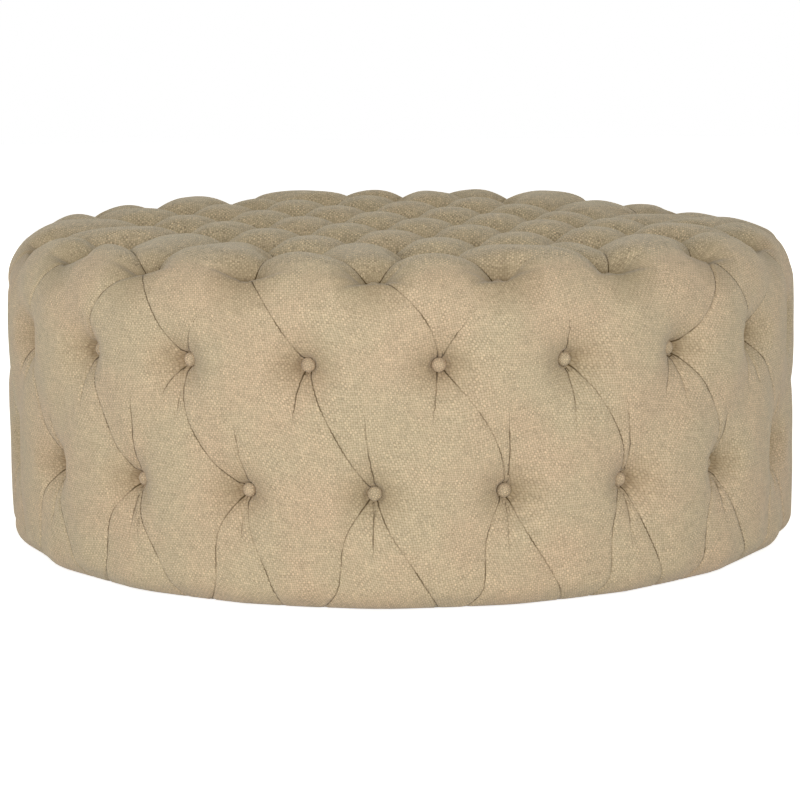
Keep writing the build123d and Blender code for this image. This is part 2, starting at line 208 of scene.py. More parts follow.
row = np.arange(TUFTS_ROUND) * STEP
net_i, net_j = np.meshgrid(np.arange(-5, 5), np.arange(-4, 5), indexing="ij")
net_x, net_y = (net_i.ravel() + 0.5) * TOP_SPACING, net_j.ravel() * TOP_SPACING
net_in = np.hypot(net_x, net_y) <= TOP_REACH
net_cells = np.stack([net_i.ravel()[net_in], net_j.ravel()[net_in]], axis=1).tolist()
cos_top, sin_top = math.cos(TOP_TURN), math.sin(TOP_TURN)
top_x = net_x[net_in] * cos_top - net_y[net_in] * sin_top
top_y = net_x[net_in] * sin_top + net_y[net_in] * cos_top


def top_points(height):
    """A point over each tuft of the top, at a height."""
    return np.stack([top_x, top_y, np.full_like(top_x, height)], axis=1)


def seat_row(turns, radius, height, tilt, look):
    """Seats round the side: their middles, the way they face, tilted up by an angle, and their look."""
    return round_points(radius, turns, height), round_points(math.cos(tilt), turns, math.sin(tilt)), look


seats = {
    "upper_side_buttons": seat_row(UPPER_TURN + row, SIDE_SEAT_RADIUS, UPPER_HEIGHT, 0, SIDE_SEAT),
    "lower_side_buttons": seat_row(LOWER_TURN + row, SIDE_SEAT_RADIUS, LOWER_HEIGHT, 0, SIDE_SEAT),
    "rim_buttons": seat_row(LOWER_TURN + row, RIM_SEAT_RADIUS, RIM_SEAT_HEIGHT, RIM_SEAT_TILT, RIM_SEAT),
    "top_buttons": (top_points(TOP_SEAT_HEIGHT), np.tile([0.0, 0.0, 1.0], (len(top_x), 1)), TOP_SEAT),
}


def seat_axes(face):
    """A seat's level direction, and the one square to it and to the way the seat faces."""
    level = np.array([1.0, 0, 0]) if face[2] == 1 else np.cross([0, 0, 1], face)
    level = level / np.linalg.norm(level)
    return level, np.cross(face, level)


# Pleats, as lines on the surface

LINE_POINTS = 20


def side_line(turn, along, across_end, along_end, bow=0.0, hook=0.0):
    """A line on the side from a place: it runs to an offset across and along, bowed sideways by a half sine,
    with a hook that bends its first part by a full sine."""
    t = np.linspace(0, 1, LINE_POINTS)
    sideways = across_end * t + bow * np.sin(math.pi * t) + hook * np.sin(2 * math.pi * t)
    return cover_surface(turn + sideways / OUTER_RADIUS, along + along_end * t)[0]


def plan_line(start, end):
    """A line that is straight seen from above, over the rounded edge or the top."""
    t = np.linspace(0, 1, LINE_POINTS)[:, None]
    flat = np.array(start) * (1 - t) + np.array(end) * t
    radius = np.hypot(flat[:, 0], flat[:, 1])
    return cover_surface(np.arctan2(flat[:, 1], flat[:, 0]), along_of_radius(radius))[0]


def drawn(low, high, places=(), given=()):
    """A value for each tuft of a row, drawn from a range, but given at some places."""
    values = rng.uniform(low, high, TUFTS_ROUND)
    values[list(places)] = given
    return values


# How far pleats bow between the side rows, and how far to the left and right those below the lower row end,
# in order round the side. Those in front follow the photograph.
long_bow = drawn(-0.016, 0.020, (18, 19, 0, 1, 2, 3), (-0.026, -0.007, 0.020, 0.016, 0.022, 0.020))
back_bow = drawn(-0.004, 0.008)
foot_left = drawn(-0.088, -0.056, (18, 19, 0, 1), (-0.062, -0.076, -0.060, -0.060))
foot_right = drawn(0.052, 0.090, (18, 19, 0, 1), (0.052, 0.088, 0.082, 0.060))
LEFT_RIM_BOW, RIGHT_RIM_BOW = 0.004, 0.008
fall_row = LOWER_ALONG - UPPER_ALONG
rise_rim = RIM_ALONG - UPPER_ALONG
half_pitch = OUTER_RADIUS * STEP / 2

# Kinds of pleat: its depth half way as a share of a tuft's, how far it reaches sideways, whether it is a
# sharp valley or a soft one in taut cloth, and how much sooner it ends towards a high lip beyond its start
LIP_SQUEEZE = 2.6
PleatKind = namedtuple("PleatKind", "share reach sharp squeeze")
SIDE_PLEAT = PleatKind(share=0.13, reach=0.055, sharp=False, squeeze=0)
TOP_PLEAT = PleatKind(share=0.44, reach=0.064, sharp=True, squeeze=0)
RIM_PLEAT = PleatKind(share=0.40, reach=0.070, sharp=True, squeeze=LIP_SQUEEZE)

side_pleats = []
for k in range(TUFTS_ROUND):
    upper, lower = UPPER_TURN + k * STEP, LOWER_TURN + k * STEP
    side_pleats += [
        (side_line(upper, UPPER_ALONG, half_pitch, fall_row, long_bow[k]), SIDE_PLEAT),
        (side_line(upper, UPPER_ALONG, -half_pitch, fall_row, back_bow[k]), SIDE_PLEAT),
        (side_line(lower, RIM_ALONG, half_pitch, -rise_rim, LEFT_RIM_BOW), SIDE_PLEAT),
        (side_line(lower, RIM_ALONG, -half_pitch, -rise_rim, RIGHT_RIM_BOW), SIDE_PLEAT),
        (side_line(lower, LOWER_ALONG, foot_left[k], -LOWER_ALONG), SIDE_PLEAT),
        (side_line(lower, LOWER_ALONG, foot_right[k], -LOWER_ALONG), SIDE_PLEAT),
    ]

# On the top, pleats join neighbours in the net. Where the net ends, a pleat goes to the rim tuft nearest to
# the next place in it, and each rim tuft that is left over gets one from the top tuft nearest to it.
rim_plan = round_points(FLAT_RADIUS + TOP_EDGE_ROUND * math.cos(RIM_TILT), LOWER_TURN + row, 0)[:, :2]
top_plan = top_points(0)[:, :2]
net_names = {tuple(cell): n for n, cell in enumerate(net_cells)}
top_pleats = []
links = set()
for n, (i, j) in enumerate(net_cells):
    for di, dj in ((1, 0), (-1, 0), (0, 1), (0, -1)):
        if (i + di, j + dj) not in net_names:
            way = np.array([di * cos_top - dj * sin_top, di * sin_top + dj * cos_top])
            wanted = top_plan[n] + TOP_SPACING * way
            links.add((n, int(np.argmin(np.linalg.norm(rim_plan - wanted, axis=1)))))
        elif di + dj > 0:
            top_pleats.append((plan_line(top_plan[n], top_plan[net_names[i + di, j + dj]]), TOP_PLEAT))
for k in set(range(TUFTS_ROUND)) - {k for n, k in links}:
    links.add((int(np.argmin(np.linalg.norm(top_plan - rim_plan[k], axis=1))), k))
for n, k in sorted(links):
    top_pleats.append((plan_line(rim_plan[k], top_plan[n]), RIM_PLEAT))


# Thin creases

# A crease is a line, its depth, and how far it fades at its start and its end. Long ones lie in the pleats,
# and short ones, which keep clear of them, run from a tuft into a puff.
Crease = namedtuple("Crease", "line depth start_fade end_fade")
LONG_FADE = 0.012
FOOT_FADE = 0.004
SHORT_FADE = 0.010
RIM_FADE = 0.014
FAINT = {"depth": 0.0014, "start_fade": SHORT_FADE, "end_fade": 0.045}
RIM_CREASE_DEPTH = 0.0018
TOP_CREASE_DEPTH = 0.0026
LEFTWARD_SHARE = 0.65
UPPER_SHARE, LOWER_SHARE, RIM_SHARE = 0.6, 0.5, 0.35
FAINT_PLEAT = 1
long_creases, short_creases = [], []


def short_crease(turn, along, across, run, depth, end_fade, bow=(0.0, 0.0), up=False):
    """A short crease down or up from a tuft. How far it runs across and along, and its bow, are drawn from
    ranges, but a bow whose range has no width is drawn from nothing."""
    across_end = rng.uniform(*across)
    along_end = rng.uniform(*run) if up else -rng.uniform(*run)
    bow = rng.uniform(*bow) if bow[0] < bow[1] else bow[0]
    line = side_line(turn, along, across_end, along_end, bow)
    short_creases.append(Crease(line, depth, SHORT_FADE, end_fade))


rim_way = np.where(rng.random(TUFTS_ROUND) < LEFTWARD_SHARE, -1, 1)
rim_way[[18, 19, 0, 2]] = (-1, -1, -1, 1)
rim_bow = drawn(-0.016, 0.006, (18, 19, 0, 2), (-0.004, -0.004, -0.022, 0.020))
for k, way in enumerate(rim_way):
    upper, lower = UPPER_TURN + k * STEP, LOWER_TURN + k * STEP
    long_creases += [
        Crease(side_line(upper, UPPER_ALONG, half_pitch, fall_row, long_bow[k]),
               0.0030, LONG_FADE, LONG_FADE),
        Crease(side_line(lower, LOWER_ALONG, foot_left[k], -LOWER_ALONG, bow=-0.006, hook=-0.010),
               0.0032, LONG_FADE, FOOT_FADE),
        Crease(side_line(lower, LOWER_ALONG, foot_right[k], -LOWER_ALONG, bow=0.004, hook=-0.005),
               0.0030, LONG_FADE, FOOT_FADE),
    ]
    short_crease(upper - 0.003, UPPER_ALONG, across=(-0.012, 0.008), run=(0.068, 0.100),
                 depth=0.0036, end_fade=0.028, bow=(-0.004, 0.004))
    if rng.random() < UPPER_SHARE:
        short_crease(upper + 0.006, UPPER_ALONG, across=(-0.045, -0.026), run=(0.055, 0.080),
                     depth=0.0030, end_fade=0.025, bow=(-0.008, -0.008))
    short_crease(lower + 0.006, LOWER_ALONG, across=(-0.020, 0.024), run=(0.075, 0.125),
                 depth=0.0030, end_fade=0.032, bow=(-0.003, 0.003), up=True)
    short_crease(lower, LOWER_ALONG, across=(-0.004, 0.004), run=(0.070, 0.098), depth=0.0034, end_fade=0.028)
    if rng.random() < LOWER_SHARE:
        short_crease(lower + 0.005, LOWER_ALONG, across=(0.012, 0.026), run=(0.055, 0.080),
                     depth=0.0030, end_fade=0.025)
    if k == FAINT_PLEAT:
        short_creases.append(Crease(side_line(upper, UPPER_ALONG, -0.010, 0.065), **FAINT))
    else:
        line = side_line(upper, UPPER_ALONG, way * half_pitch, rise_rim, way * rim_bow[k])
        long_creases.append(Crease(line, RIM_CREASE_DEPTH * (1 + (way > 0)), SHORT_FADE, RIM_FADE))
    if rng.random() < RIM_SHARE:
        line = side_line(upper, UPPER_ALONG, -way * half_pitch * 0.5, rise_rim * 0.55, way * 0.006)
        short_creases.append(Crease(line, **FAINT))
long_creases += [Crease(line, TOP_CREASE_DEPTH, LONG_FADE, LONG_FADE) for line, kind in top_pleats]


# The cover's tufted surface

def near(points, line, reach):
    """Indices of the points that lie in the ball round a line, with a margin."""
    middle = (line.max(0) + line.min(0)) / 2
    ball = np.linalg.norm(line - middle, axis=1).max() + reach
    return np.flatnonzero(np.einsum("nk,nk->n", points - middle, points - middle) < ball ** 2)


def to_line(points, line):
    """For each point: the vector from the nearest place on a chain of short straight runs, and how far along
    the chain that place is, with the chain's length and the direction of the nearest run."""
    start, run = line[:-1], line[1:] - line[:-1]
    length = np.linalg.norm(run, axis=1)
    rel = points[:, None] - start
    t = np.clip(np.einsum("nmk,mk->nm", rel, run) / length ** 2, 0, 1)
    gap = rel - t[..., None] * run
    nearest = np.argmin(np.einsum("nmk,nmk->nm", gap, gap), axis=1)
    each = np.arange(len(points))
    reached = np.concatenate([[0], np.cumsum(length)])
    at = reached[nearest] + t[each, nearest] * length[nearest]
    return gap[each, nearest], at, reached[-1], run[nearest]


# How far a tuft's pull runs along its pleats, how steep sharp pleats are, how wide and steep a tuft's dimple
# is, and how far up from the bottom edge, and in on the top, the tufting reaches its depth
TUFT_FADE = 0.019
PLEAT_POWER = 2.3
DIMPLE_RADIUS = 0.021
DIMPLE_POWER = 1.10
DIMPLE_REACH = 6 * DIMPLE_RADIUS
FOOT_RISE = 0.03
TOP_MARGIN = 0.05
DEPTH_PLACES = (UPPER_ALONG, RIM_ALONG, EDGE_END + TOP_MARGIN)
DEPTHS = (OUTER_RADIUS - SIDE_SEAT_RADIUS, RIM_DEPTH, COVER_HEIGHT - TOP_SEAT_HEIGHT)

# The tufts, and the way down the side at each rim tuft, where the cloth keeps a high lip
tuft_places = np.concatenate([cover_surface(UPPER_TURN + row, UPPER_ALONG)[0],
                              cover_surface(LOWER_TURN + row, LOWER_ALONG)[0],
                              cover_surface(LOWER_TURN + row, RIM_ALONG)[0],
                              top_points(COVER_HEIGHT)])
lip_ways = np.zeros_like(tuft_places)
rim_tufts = slice(2 * TUFTS_ROUND, 3 * TUFTS_ROUND)
lip_ways[rim_tufts] = round_points(math.sin(RIM_TILT), LOWER_TURN + row, -math.cos(RIM_TILT))


def tuft_depths(points, along):
    """How far the tufting pulls each point in. Every pleat keeps a share of the padding's height: none at a
    tuft, more half way, and all of it beyond the pleat's reach. A sharp pleat's curve is steep at the pleat
    and flat at the crest, and a soft one is an S-curve. A tuft keeps a share that falls off with distance,
    like a cone with a round rim, and faster towards a lip. The shares of all pleats and tufts near a point
    are multiplied, so the puffs between them are round."""
    kept = np.ones(len(points))
    for line, kind in side_pleats + top_pleats:
        local = near(points, line, kind.reach)
        gap, at, length, _ = to_line(points[local], line)
        beyond = (line[0] - line[1]) / np.linalg.norm(line[0] - line[1])
        squeeze = kind.squeeze * np.clip(gap @ beyond, 0, None)
        away = np.clip((np.linalg.norm(gap, axis=1) + squeeze) / kind.reach, 0, 1)
        if kind.sharp:
            at_tuft = np.exp(-at / TUFT_FADE) + np.exp(-(length - at) / TUFT_FADE)
            deep = np.clip(kind.share + (1 - kind.share) * at_tuft, 0, 1)
            kept[local] *= 1 - deep * (1 - away) ** PLEAT_POWER
        else:
            kept[local] *= 1 - kind.share * smooth_step(1 - away)
    for place, lip in zip(tuft_places, lip_ways):
        local = near(points, place[None], DIMPLE_REACH)
        rel = points[local] - place
        away = np.linalg.norm(rel, axis=1) + LIP_SQUEEZE * np.clip(rel @ lip, 0, None)
        kept[local] *= 1 - np.exp(-(away / DIMPLE_RADIUS) ** DIMPLE_POWER)
    return np.interp(along, DEPTH_PLACES, DEPTHS) * (1 - kept) * smooth_step(along / FOOT_RISE)


# Creases: the distance given where none is near, how far one reaches, its half width, how much wider and
# deeper it is at a tuft, how clear short ones keep of long ones, how much further off a faded end counts and
# when it has gone, and how near points have to be to be drawn onto the line
FAR = 0.05
CREASE_REACH = 0.012
CREASE_HALF_WIDTH = 0.0042
CREASE_WIDER = 0.0009
CREASE_DEEPER = 0.6
LONG_CREASES_CLEAR = 0.0055
FADED_OFF = 0.004
FADED_OUT = 0.02
SNAP_REACH, SNAP_FADE = 0.0016, 0.0010


def crease_folds(base, normal):
    """The thin creases. For each point: how far the nearest one pulls it in, a valley with straight sides
    whose depth fades at both ends, the move that draws it onto the line, and the signed and the plain
    distance to it."""
    depth = np.zeros(len(base))
    shift = np.zeros_like(base)
    side = np.full(len(base), FAR)
    plain = np.full(len(base), FAR)
    clear = np.full(len(base), True)
    for creases in (long_creases, short_creases):
        for crease in creases:
            local = near(base, crease.line, CREASE_REACH)
            gap, at, length, run = to_line(base[local], crease.line)
            away = np.linalg.norm(gap, axis=1)
            closer = (away < plain[local]) & clear[local]
            local, gap, at, run, away = local[closer], gap[closer], at[closer], run[closer], away[closer]
            taper = smooth_step(at / crease.start_fade) * smooth_step((length - at) / crease.end_fade)
            wider = np.exp(-at / TUFT_FADE)
            valley = np.clip(1 - away / CREASE_HALF_WIDTH, 0, 1)
            depth[local] = crease.depth * taper * (1 + CREASE_DEEPER * wider) * valley
            snap = np.clip((SNAP_REACH - away) / SNAP_FADE, 0, 1) * (taper > FADED_OUT)
            shift[local] = -gap * snap[:, None]
            hand = np.where(np.einsum("nk,nk->n", np.cross(run, gap), normal[local]) < 0, -1, 1)
            side[local] = hand * (np.clip(away - CREASE_WIDER * wider, 0, None) + FADED_OFF * (1 - taper))
            plain[local] = away
        clear = plain > LONG_CREASES_CLEAR
    return depth, shift, side, plain


# The rim has settled at one side: the turn of its lowest place, how far round and how deep it has gone, and
# where along the profile it ends, with how far it fades before that
SETTLED_TURN = 0.35
SETTLED_SPREAD = 0.50
SETTLED_DEPTH = 0.017
SETTLED_END, SETTLED_FADE = EDGE_END / 0.65, EDGE_END / 2.6


def settled(height, turn, along):
    """How far the rim has settled at each point: a bell round the ottoman, on the crests of the puffs, that
    fades towards the middle of the top."""
    crest = smooth_step((height - TOP_SEAT_HEIGHT) / (COVER_HEIGHT - TOP_SEAT_HEIGHT))
    turned = np.angle(np.exp(1j * (turn - SETTLED_TURN)))
    bell = np.exp(-(turned / SETTLED_SPREAD) ** 2)
    return SETTLED_DEPTH * crest * bell * smooth_step((SETTLED_END - along) / SETTLED_FADE)


# Round a seat: how far its cloth is changed, the wrinkles' number, shift, rise and fade, and how steeply the
# shade painted round it ends
SEAT_REACH = 0.065
WRINKLES = 11
WRINKLE_SHIFT = 6
WRINKLE_START, WRINKLE_RISE = 0.010, 0.012
WRINKLE_END, WRINKLE_FADE = 0.058, 0.035
SEAT_SHADE_POWER = 1.5


def seat_folds(points):
    """Lays the cloth on the seats, and gives the height of the wrinkles and how much painted shade each point
    gets round the seats. Wrinkles are a cosine round the seat, highest at its left and right, and the painted
    shade is a bell, darkest at the seat."""
    wrinkles = np.zeros(len(points))
    hollow = np.zeros(len(points))
    for middles, facing, look in seats.values():
        for middle, face in zip(middles, facing):
            level, up = seat_axes(face)
            local = near(points, middle[None], SEAT_REACH)
            rel = points[local] - middle
            lift = rel @ face
            flat = rel - lift[:, None] * face
            away = np.linalg.norm(flat, axis=1)
            angle = np.arctan2(flat @ up, flat @ level)
            ripple = np.cos(WRINKLES * angle + rng.uniform(0, WRINKLE_SHIFT)) * np.cos(angle) ** 2
            rise = smooth_step((away - WRINKLE_START) / WRINKLE_RISE)
            fall = smooth_step((WRINKLE_END - away) / WRINKLE_FADE)
            wrinkles[local] += look.wrinkle * ripple * rise * fall
            # Shade painted round the seat: a bell, drawn out sideways
            wide = np.hypot(flat @ level / look.widen, flat @ up)
            hollow[local] = np.maximum(hollow[local], np.exp(-(wide / look.hollow) ** SEAT_SHADE_POWER))
            held = smooth_step((look.held - away) / look.step)
            points[local] -= (lift * held)[:, None] * face
    return wrinkles, hollow


def tufted_surface(turn, along):
    """Points of the tufted cover, their signed and plain distance to the nearest crease, and how much painted
    shade they get round the seats. Tufts, pleats and creases pull the untufted surface in along its normals,
    then it settles at the rim and is laid on the seats."""
    base, normal = cover_surface(turn, along)
    crease_depth, shift, fold_side, fold_near = crease_folds(base, normal)
    points = base + shift - normal * (tuft_depths(base, along) + crease_depth)[:, None]
    points[:, 2] -= settled(points[:, 2], turn, along)
    wrinkles, hollow = seat_folds(points)
    return points + normal * wrinkles[:, None], fold_side, fold_near, hollow


# The cover's mesh

# Rings of the cover: how many up to the flat top and on it, the last one's distance from the middle, the
# points of a whole ring, how often and how early they halve, and the cut-off edge of the lining
SIDE_RINGS, TOP_RINGS = 172, 166
MIDDLE_GAP = 0.006
RING_POINTS = 1280
MOST_HALVINGS = 4
HALVE_EARLY = 0.02
LINING_EDGE = 0.004

# The weave's map: how much it leans on the side, its waves from tuft to tuft on the side and the top, and
# its longer waves
WEAVE_LEAN = 0.25
SIDE_WAVE_U, SIDE_WAVE_V = 0.0055, 0.0050
TOP_WAVE = 0.004
LONG_WAVE, LONG_WAVE_UP = 0.006, 0.008

# The top's map takes the place of the side's a little inside the rim tufts
ON_TOP_START, ON_TOP_FADE = RIM_ALONG - 0.010, 0.030


def cover_rings():
    """Distances along the profile of the cover's rings, from the bottom edge to near the middle of the top,
    and the number of points in each: half as many each time its circle has shrunk by half."""
    along = np.concatenate([np.linspace(0, EDGE_END, SIDE_RINGS, endpoint=False),
                            np.linspace(EDGE_END, PROFILE_END - MIDDLE_GAP, TOP_RINGS)])
    radius = np.clip(PROFILE_END - along, 0, FLAT_RADIUS)
    halvings = np.floor(np.log2(FLAT_RADIUS / radius) + HALVE_EARLY).clip(0, MOST_HALVINGS).astype(int)
    return along, (RING_POINTS // 2 ** halvings).tolist()


def map_weave(piece, turn, along):
    """Two maps of the weave, in metres. The side's runs round and up the profile, and the top's is the plan.
    Both are bent a little by sines of the place, as cloth is where tufts pull it: threads wave once from
    tuft to tuft."""
    corner = corner_vertices(piece)
    turn, along = turn[corner], along[corner]
    size = np.zeros(len(piece.data.polygons), int)
    piece.data.polygons.foreach_get("loop_total", size)
    first = np.repeat(turn[np.cumsum(size) - size], size)
    turn = first + np.angle(np.exp(1j * (turn - first)))
    rows = math.pi * along / (UPPER_ALONG - LOWER_ALONG)
    wave_u = SIDE_WAVE_U * np.sin(TUFTS_ROUND * turn + 0.7) * np.cos(rows)
    wave_v = SIDE_WAVE_V * np.cos(TUFTS_ROUND * turn) * np.sin(rows + 0.4)
    side_u = OUTER_RADIUS * turn + WEAVE_LEAN * along + wave_u + LONG_WAVE * np.sin(3 * turn + 5 * along)
    side_v = along + wave_v + LONG_WAVE_UP * np.sin(7 * turn)
    corner_map(piece, "weave", side_u, side_v)
    x, y, _ = round_points(np.clip(PROFILE_END - along, 0, None), turn, 0).T
    top_u = x + TOP_WAVE * np.sin(2 * math.pi * y / TOP_SPACING) + LONG_WAVE * np.sin(9 * y + 2)
    top_v = y + TOP_WAVE * np.sin(2 * math.pi * x / TOP_SPACING + 1) + LONG_WAVE * np.sin(8 * x)
    corner_map(piece, "weave_top", top_u, top_v)


def make_cover(material):
    """The tufted cover: inside, turned-under edge and outside, as one closed surface of rings about the Z
    axis."""
    along, counts = cover_rings()
    turn = np.concatenate([ring_turns(count) for count in counts])
    where = np.repeat(along, counts)
    points, fold_side, fold_near, hollow = tufted_surface(turn, where)
    lining_profile = np.array([
        (PAD_RADIUS - LINING_EDGE, PAD_TOP), (PAD_RADIUS, PAD_TOP - LINING_EDGE), (PAD_RADIUS, PAD_BOTTOM),
        (TURN_UNDER_RADIUS, PAD_BOTTOM), (TURN_UNDER_RADIUS, COVER_BOTTOM), (PAD_RADIUS, COVER_BOTTOM)])
    radius, height = lining_profile.T[..., None]
    lining = round_points(radius, ring_turns(counts[0]), height).reshape(-1, 3)
    middle_height = points[-counts[-1]:, 2].mean()
    vertices = np.concatenate([[[0, 0, PAD_TOP]], lining, points, [[0, 0, middle_height]]])
    faces = capped_faces([counts[0]] * len(lining_profile) + counts)
    cover = new_piece("cover", vertices, faces, material)

    def whole(inside, outside, middle):
        """Values of all vertices: one for the inside, the outside's, and one for the middle of the top."""
        return np.concatenate([np.full(1 + len(lining), float(inside)), outside, [middle]])

    on_top = smooth_step((where - ON_TOP_START) / ON_TOP_FADE)
    vertex_values(cover, "fold_side", whole(FAR, fold_side, FAR))
    vertex_values(cover, "fold_near", whole(FAR, fold_near, FAR))
    # How much shade is painted round the seats at each vertex
    vertex_values(cover, "hollow", whole(0, hollow, 0))
    vertex_values(cover, "on_top", whole(0, on_top, 1))
    map_weave(cover, whole(0, turn, 0), whole(0, where, PROFILE_END))
    return cover


# Shader nodes

def shader_group(name, size_name, size, outputs):
    """A node group with named sockets, from a place and a size to the values that it puts out."""
    group = bpy.data.node_groups.new(name, "ShaderNodeTree")
    group.interface.new_socket("Place", in_out="INPUT", socket_type="NodeSocketVector")
    size_socket = group.interface.new_socket(size_name, in_out="INPUT", socket_type="NodeSocketFloat")
    size_socket.default_value = size
    for label in outputs:
        group.interface.new_socket(label, in_out="OUTPUT", socket_type="NodeSocketFloat")
    return group, group.nodes.new("NodeGroupInput").outputs, group.nodes.new("NodeGroupOutput").inputs


def node(tree, kind, values=(), **settings):
    """A node with its settings, and its inputs linked to sockets or set to values."""
    made = tree.nodes.new(kind)
    for key, value in settings.items():
        setattr(made, key, value)
    for place, value in (values.items() if isinstance(values, dict) else enumerate(values)):
        if isinstance(value, bpy.types.NodeSocket):
            tree.links.new(value, made.inputs[place])
        else:
            made.inputs[place].default_value = value
    return made


def maths(tree, operation, *values):
    """The result of a maths node."""
    return node(tree, "ShaderNodeMath", values, operation=operation).outputs[0]


def product(tree, a, b):
    """Two values multiplied."""
    return maths(tree, "MULTIPLY", a, b)


def vectors(tree, operation, *values):
    """The result of a vector maths node."""
    return node(tree, "ShaderNodeVectorMath", values, operation=operation).outputs[0]


def joined(tree, *values):
    """A vector of three values."""
    return node(tree, "ShaderNodeCombineXYZ", values).outputs[0]


def part_of(tree, vector, axis):
    """One of a vector's three values."""
    return node(tree, "ShaderNodeSeparateXYZ", [vector]).outputs[axis]


def mix_values(tree, factor, a, b):
    """Two values mixed by a factor."""
    return node(tree, "ShaderNodeMix", {0: factor, 2: a, 3: b}).outputs[0]


def mix_colours(tree, factor, a, b, blend="MIX"):
    """Two colours mixed by a factor."""
    return node(tree, "ShaderNodeMix", {0: factor, 6: a, 7: b}, data_type="RGBA", blend_type=blend).outputs[2]


def ramp(tree, value, low, high, start=0.0, end=1.0):
    """A value that runs from start to end while another goes from low to high."""
    return node(tree, "ShaderNodeMapRange", [value, low, high, start, end]).outputs[0]


def noise(tree, place, scale, detail, output=0):
    """Noise over a place."""
    made = node(tree, "ShaderNodeTexNoise", {"Vector": place, "Scale": scale, "Detail": detail})
    return made.outputs[output]


def attribute(tree, name):
    """A number that the piece's vertices carry."""
    return node(tree, "ShaderNodeAttribute", attribute_name=name).outputs["Fac"]


def object_place(tree):
    """The place on the piece, in metres."""
    return node(tree, "ShaderNodeTexCoord").outputs["Object"]


def bump(tree, shader, strength, distance, height):
    """Puts a height into the surface's normal."""
    made = node(tree, "ShaderNodeBump", {"Strength": strength, "Distance": distance, "Height": height})
    tree.links.new(made.outputs[0], shader.inputs["Normal"])


# Plain weave, in counts of threads: how far threads wander and how uneven they are, with the scale of each,
# how sharply one thread passes over the next, how full a thread is and how deep it dips, the noise along each
# thread, and how much lighter the threads one way are
WANDER, WANDER_SCALE = 1.6, 0.12
UNEVEN, UNEVEN_SCALE = 0.9, 0.55
OVER_EDGE = 0.12
THREAD_ROUND = 0.7
THREAD_DIP = 0.45
THREADS_APART, THREAD_DRAWN, OTHER_THREADS = 3.7, 0.22, 9.0
LIGHTER_THREADS = 0.09


def shifted(tree, place, scale, detail, size):
    """A shift of a place by noise."""
    centred = vectors(tree, "SUBTRACT", noise(tree, place, scale, detail, "Color"), (0.5, 0.5, 0.5))
    return node(tree, "ShaderNodeVectorMath", {0: centred, "Scale": size}, operation="SCALE").outputs[0]


def thread_height(tree, across, along):
    """A thread's height: the size of the sine across it, made fuller, and lower where it dips."""
    full = maths(tree, "POWER", maths(tree, "ABSOLUTE", across), THREAD_ROUND)
    dip = maths(tree, "MULTIPLY_ADD", maths(tree, "ABSOLUTE", along), THREAD_DIP, 1 - THREAD_DIP)
    return product(tree, full, dip)


def plain_weave_group():
    """Plain weave: threads one way go over and under those the other way. The sign of the product of the
    sines across both says which thread is on top. Noise drawn out along each thread makes it lighter and
    darker, and noise in the place makes threads wander and swell."""
    t, come, go = shader_group("plain_weave", "Pitch", 0.0024, ["Height", "Tone"])
    count = vectors(t, "DIVIDE", come["Place"], joined(t, come["Pitch"], come["Pitch"], 1.0))
    wandered = vectors(t, "ADD", count, shifted(t, count, WANDER_SCALE, 2.0, WANDER))
    place = vectors(t, "ADD", wandered, shifted(t, count, UNEVEN_SCALE, 1.0, UNEVEN))
    ways = [part_of(t, place, 0), part_of(t, place, 1)]
    across, along = [maths(t, "SINE", product(t, way, math.pi)) for way in ways]
    over = ramp(t, product(t, across, along), -OVER_EDGE, OVER_EDGE)
    height = mix_values(t, over, thread_height(t, along, across), thread_height(t, across, along))
    number = [product(t, maths(t, "FLOOR", way), THREADS_APART) for way in ways]
    drawn_out = [product(t, way, THREAD_DRAWN) for way in ways]
    tone_a = noise(t, joined(t, number[0], drawn_out[1], 0.0), 1.0, 1.0)
    tone_b = noise(t, joined(t, drawn_out[0], number[1], OTHER_THREADS), 1.0, 1.0)
    tone = mix_values(t, over, maths(t, "SUBTRACT", tone_b, LIGHTER_THREADS),
                      maths(t, "ADD", tone_a, LIGHTER_THREADS))
    t.links.new(height, go["Height"])
    t.links.new(tone, go["Tone"])
    return t


# Wood grain: how far rings and pores are drawn out, their scales, how far noise bends the rings, and how far
# apart they are
RINGS_DRAWN, PORES_DRAWN = (1.0, 1.0, 0.07), (1.0, 1.0, 0.02)
BEND_SCALE, PORE_SCALE = 9.0, 900.0
BEND = 7.0
RING_WIDTH = 0.012


def wood_grain_group():
    """Wood grain: noise drawn out along the grain bends rings that are cut lengthwise, with fine pores over
    them. Place is measured in metres with the grain along its Z."""
    t, come, go = shader_group("wood_grain", "Ring Width", RING_WIDTH, ["Grain", "Pores"])
    drawn_out = vectors(t, "MULTIPLY", come["Place"], RINGS_DRAWN)
    rings = maths(t, "DIVIDE", part_of(t, drawn_out, 0), come["Ring Width"])
    bent = maths(t, "MULTIPLY_ADD", noise(t, drawn_out, BEND_SCALE, 3.0), BEND, rings)
    wave = maths(t, "SINE", product(t, bent, 2 * math.pi))
    t.links.new(maths(t, "MULTIPLY_ADD", wave, 0.5, 0.5), go["Grain"])
    t.links.new(noise(t, vectors(t, "MULTIPLY", come["Place"], PORES_DRAWN), PORE_SCALE, 2.0), go["Pores"])
    return t


weave_group = plain_weave_group()
grain_group = wood_grain_group()


# Materials

LINEN_PALE = (0.594, 0.490, 0.341, 1)
LINEN_ROSY = (0.622, 0.483, 0.338, 1)
# Painted shade colours: in the weave's gaps, round the buttons, in the creases, on buttons' tucked-under
# edges
PAINTED_GAP_SHADE = (0.24, 0.168, 0.075, 1)
PAINTED_SEAT_SHADE = (0.21, 0.145, 0.065, 1)
PAINTED_CREASE_SHADE = (0.10, 0.066, 0.028, 1)
PAINTED_TUCK_SHADE = (0.10, 0.065, 0.03, 1)
COVER_PITCH, BUTTON_PITCH = 0.0031, 0.0029
TONE_SPREAD = 0.26
